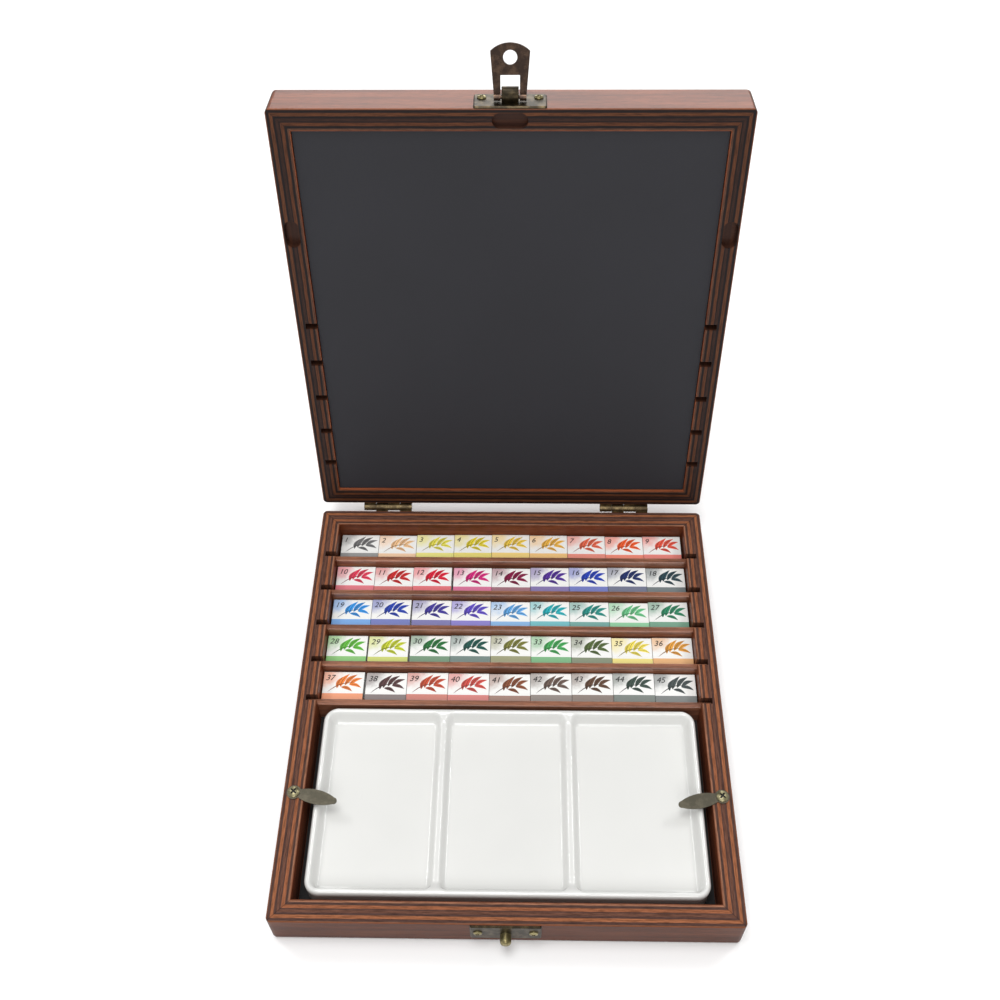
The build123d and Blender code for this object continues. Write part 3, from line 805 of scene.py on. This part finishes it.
def band_row(row):
    """Nine bands as one piece, in the place of the row's CAD bands."""
    low, high = (np.array(corner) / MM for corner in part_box("pan_wrappers_row_%d" % row))
    depth, height = PAN_DEPTH, high[2] - low[2] - CROWN
    loop, across = band_section(depth, height)
    along = BAND_RINGS * PAN_LENGTH
    shape = (PANS, len(along), len(loop))
    points = np.empty((*shape, 3))
    points[..., 0] = pan_middles(row)[:, None, None] + along[None, :, None]
    row_middle = (low[1] + high[1]) / 2
    points[..., 1] = row_middle + pan_steps(row)[:, None, None] + loop[None, None, :, 0]
    points[..., 2] = low[2] + height / 2 + loop[None, None, :, 1]
    one = grid_faces(len(along), len(loop), closed=True)
    faces = np.concatenate([one + pan * len(along) * len(loop) for pan in range(PANS)])
    piece = mesh_piece("pan_bands_row_%d" % row, points * MM, faces.tolist(), paper, "base")
    mesh = piece.data
    uv = np.empty((*shape, 2))
    uv[..., 0] = (along / PAN_LENGTH + 0.5)[None, :, None]
    below_top = np.clip((height / 2 - BAND_CORNER - loop[:, 1]) / depth, 0, None)
    front_side = loop[:, 0] < 0
    uv[..., 1] = np.where(front_side, across - below_top, across + below_top)[None, None, :]
    corners = np.empty(len(mesh.loops), int)
    mesh.loops.foreach_get("vertex_index", corners)
    mesh.uv_layers.new(name="label").data.foreach_set("uv", uv.reshape(-1, 2)[corners].ravel())
    hues = np.array([tint(*hue) for hue in HUES[row - 1]])
    give_hue(mesh, np.broadcast_to(hues[:, None, None], (*shape, 4)))
    solid = piece.modifiers.new("paper", "SOLIDIFY")
    solid.thickness = PAPER * MM
    solid.offset = -1
    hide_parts("pan_wrappers_row_%d" % row)
    return (low + high) / 2, high[2]


print("a band's section has", len(band_section(PAN_DEPTH, 10.0)[0]), "points")

# %% [markdown]
# The spray of leaves is printed, so it is a set of flat shapes just above the paper. A leaf
# is a midrib that bends, with a width that swells and closes like half a sine wave, and the
# stem is the same shape, long and thin. One spray is worked out once, then shifted to every
# pan.

# %% Sprays and numbers
LEAVES = ((6.9, 6.6, 9.4, 13.0, 1.8), (8.4, 7.4, 12.4, 14.6, 2.3), (10.6, 8.3, 16.2, 14.2, 2.2),
          (12.8, 8.9, 18.8, 12.2, 1.9), (8.8, 7.4, 14.4, 5.0, 1.7), (12.6, 8.8, 18.6, 7.0, 1.7))
STEM = (2.6, 4.7, 15.4, 9.8, 0.4)
RIB_STEPS = 9
RIB_WIDTH = 0.22
RIB_BEND = 0.12
LEAST_WIDTH = 0.03
LEAF_TONES = (1.0, 1.35)
RIB_TONE = 0.35
LABEL_LIFT = 0.04
INK_DEPTH = 0.8
NUMBER_SIZE = 4.3
NUMBER_SLANT = 0.25
NUMBER_PLACE = (0.9, 11.0)


def leaf_shape(start_x, start_y, end_x, end_y, width):
    """Two edges of a leaf: a bent midrib and a half-sine width to each side."""
    share = np.linspace(0, 1, RIB_STEPS)
    run = np.array([end_x - start_x, end_y - start_y])
    length = np.hypot(*run)
    side_way = np.array([-run[1], run[0]]) / length
    bend = side_way * (RIB_BEND * length * np.sin(math.pi * share))[:, None]
    rib = np.array([start_x, start_y]) + share[:, None] * run + bend
    swell = (np.sin(math.pi * share ** 0.8) * width / 2 + LEAST_WIDTH)[:, None] * side_way
    return np.stack([rib - swell, rib + swell], 1)


def spray_row(row, middle, top):
    """The row's printed sprays as one flat piece."""
    ribs = [(*leaf[:4], RIB_WIDTH) for leaf in LEAVES]
    shapes = np.array([leaf_shape(*leaf) for leaf in (*LEAVES, *ribs, STEM)])
    count = len(shapes)
    printed_over = np.arange(count) >= len(LEAVES)
    half = PAN_DEPTH / 2
    points = np.empty((PANS, count, RIB_STEPS, 2, 3))
    points[..., 0] = pan_middles(row)[:, None, None, None] - PAN_LENGTH / 2 + shapes[None, ..., 0]
    points[..., 1] = middle[1] + pan_steps(row)[:, None, None, None] - half + shapes[None, ..., 1]
    crown = CROWN * (1 - ((shapes[..., 1] - half) / half) ** 2)
    lift = LABEL_LIFT * (1 + 0.5 * printed_over)[None, :, None, None]
    points[..., 2] = top - CROWN + crown[None] + lift
    one = grid_faces(RIB_STEPS, 2)[:, ::-1]
    faces = np.concatenate([one + number * RIB_STEPS * 2 for number in range(PANS * count)])
    piece = mesh_piece("pan_sprays_row_%d" % row, points * MM, faces.tolist(), ink, "base")
    hues = np.array([tint(*hue) for hue in HUES[row - 1]]) * np.array([*[INK_DEPTH] * 3, 1.0])
    leaf_tone = np.where(np.arange(count) % 2 == 0, *LEAF_TONES)
    depth_of_tone = np.where(printed_over, RIB_TONE, leaf_tone)[None, :, None, None, None]
    tones = np.broadcast_to(hues[:, None, None, None] * depth_of_tone, (PANS, count, RIB_STEPS, 2, 4))
    give_hue(piece.data, np.clip(tones, 0, 1))


def number_row(row, middle, top):
    """The row's plain numbers as one flat piece, each a font character turned into a mesh."""
    points, faces, total = [], [], 0
    for pan, x_middle in enumerate(pan_middles(row)):
        curve = bpy.data.curves.new("digits", "FONT")
        curve.body = str((row - 1) * PANS + pan + 1)
        curve.size = NUMBER_SIZE * MM
        curve.shear = NUMBER_SLANT
        curve.resolution_u = 3
        holder = bpy.data.objects.new("digits", curve)
        flat = bpy.data.meshes.new_from_object(holder)
        place = np.empty(len(flat.vertices) * 3)
        flat.vertices.foreach_get("co", place)
        place = place.reshape(-1, 3)
        corner_x = x_middle - PAN_LENGTH / 2
        corner_y = middle[1] + pan_steps(row)[pan] - PAN_DEPTH / 2
        number_x, number_y = NUMBER_PLACE
        place += np.array([corner_x + number_x, corner_y + number_y, top + LABEL_LIFT * 2]) * MM
        points.append(place)
        faces += [[corner + total for corner in polygon.vertices] for polygon in flat.polygons]
        total += len(place)
        bpy.data.objects.remove(holder)
        bpy.data.curves.remove(curve)
        bpy.data.meshes.remove(flat)
    mesh = bpy.data.meshes.new("pan_numbers_row_%d" % row)
    mesh.from_pydata(np.concatenate(points).tolist(), [], faces)
    mesh.materials.append(number_ink.material)
    piece = bpy.data.objects.new("pan_numbers_row_%d" % row, mesh)
    bpy.context.scene.collection.objects.link(piece)
    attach(piece, "base")


for row in range(1, 6):
    middle, top = band_row(row)
    spray_row(row, middle, top)
    number_row(row, middle, top)
print("labels:", 5 * PANS, "bands, sprays and numbers")

# %% [markdown]
# The tubs show only at the ends of the bands, as white plastic. The paint inside is out of
# sight, and still gets its own hue and a dried, slightly cracked surface.

# %% Tubs and paint
plastic = Finish("pan_plastic", Coat_Weight=0.2)
x, y, z = plastic.object_mm()
scuff = plastic.noise(plastic.vector(x, y, z), scale=0.8, detail=3)
plastic.surface(Base_Color=plastic.mix(scuff, tint(232, 232, 230), tint(216, 216, 214)),
                Roughness=scuff * 0.2 + 0.25)
for row in range(1, 6):
    plastic.put_on("pan_tubs_row_%d" % row)
    paint = Finish("paint_row_%d" % row)
    x, y, z = paint.object_mm()
    crust = paint.noise(paint.vector(x, y, z), scale=0.5, detail=4)
    tone = paint.ramp(x / (2 * half_width) + 0.5,
                      *[((pan + 0.5) / PANS, tint(*hue)) for pan, hue in enumerate(HUES[row - 1])])
    paint.surface(Base_Color=paint.mix(1.0, tone, crust * 0.5 + 0.7, "MULTIPLY"),
                  Roughness=crust * 0.3 + 0.4)
    paint.bump(crust, 0.4, 0.3)
    paint.put_on("paint_cakes_row_%d" % row)
print("materials:", len(bpy.data.materials))

# %% [markdown]
# The stage is a white floor that runs far out of the picture under an even white sky. Soft
# square lights stand overhead, in front, to both sides and behind, so shadows are pale and
# short, as in a light tent. The view transform is Standard, because Blender's default turns
# a white floor and a white glaze grey.

# %% Stage and light
floor_finish = Finish("floor", Roughness=0.6)
floor_finish.surface(Base_Color=tint(255, 255, 255))
FLOOR_SPAN = 12.0
SKY_STRENGTH = 0.46
# Each light: its name, its place, where it looks, its side in metres and its power in watts.
LIGHTS = (
    ("overhead", (-0.15, -0.1, 1.4), (0, -0.02, 0.05), 0.6, 8),
    ("front", (0.0, -1.1, 1.0), (0, 0, 0.05), 0.7, 6.5),
    ("left", (-0.75, 0.45, 0.95), (0, -0.05, 0.02), 0.35, 6),
    ("right", (0.75, 0.45, 0.95), (0, -0.05, 0.02), 0.35, 6),
    ("backdrop", (0.1, 1.6, 0.75), (0, 0.1, 0.2), 1.2, 12),
)
floor_mesh = bpy.data.meshes.new("floor")
floor_corners = [(x * FLOOR_SPAN, y * FLOOR_SPAN, 0) for x, y in ((-1, -1), (1, -1), (1, 1), (-1, 1))]
floor_mesh.from_pydata(floor_corners, [], [(0, 1, 2, 3)])
floor_mesh.materials.append(floor_finish.material)
floor = bpy.data.objects.new("floor", floor_mesh)
bpy.context.scene.collection.objects.link(floor)


def soft_light(name, place, aim, size, power):
    """A square area light that looks at a point."""
    data = bpy.data.lights.new(name, "AREA")
    data.size, data.energy = size, power
    lamp = bpy.data.objects.new(name, data)
    way = np.array(aim) - np.array(place)
    lamp.location = place
    yaw_turn = math.atan2(way[0], -way[1])
    lamp.rotation_euler = (math.atan2(np.hypot(way[0], way[1]), -way[2]), 0, -yaw_turn + math.pi)
    bpy.context.scene.collection.objects.link(lamp)


for light in LIGHTS:
    soft_light(*light)
bpy.context.scene.view_settings.view_transform = "Standard"
world = bpy.data.worlds.new("sky")
world.use_nodes = True
background = world.node_tree.nodes["Background"]
background.inputs["Color"].default_value = (1, 1, 1, 1)
background.inputs["Strength"].default_value = SKY_STRENGTH
bpy.context.scene.world = world
print("lights:", len(LIGHTS))
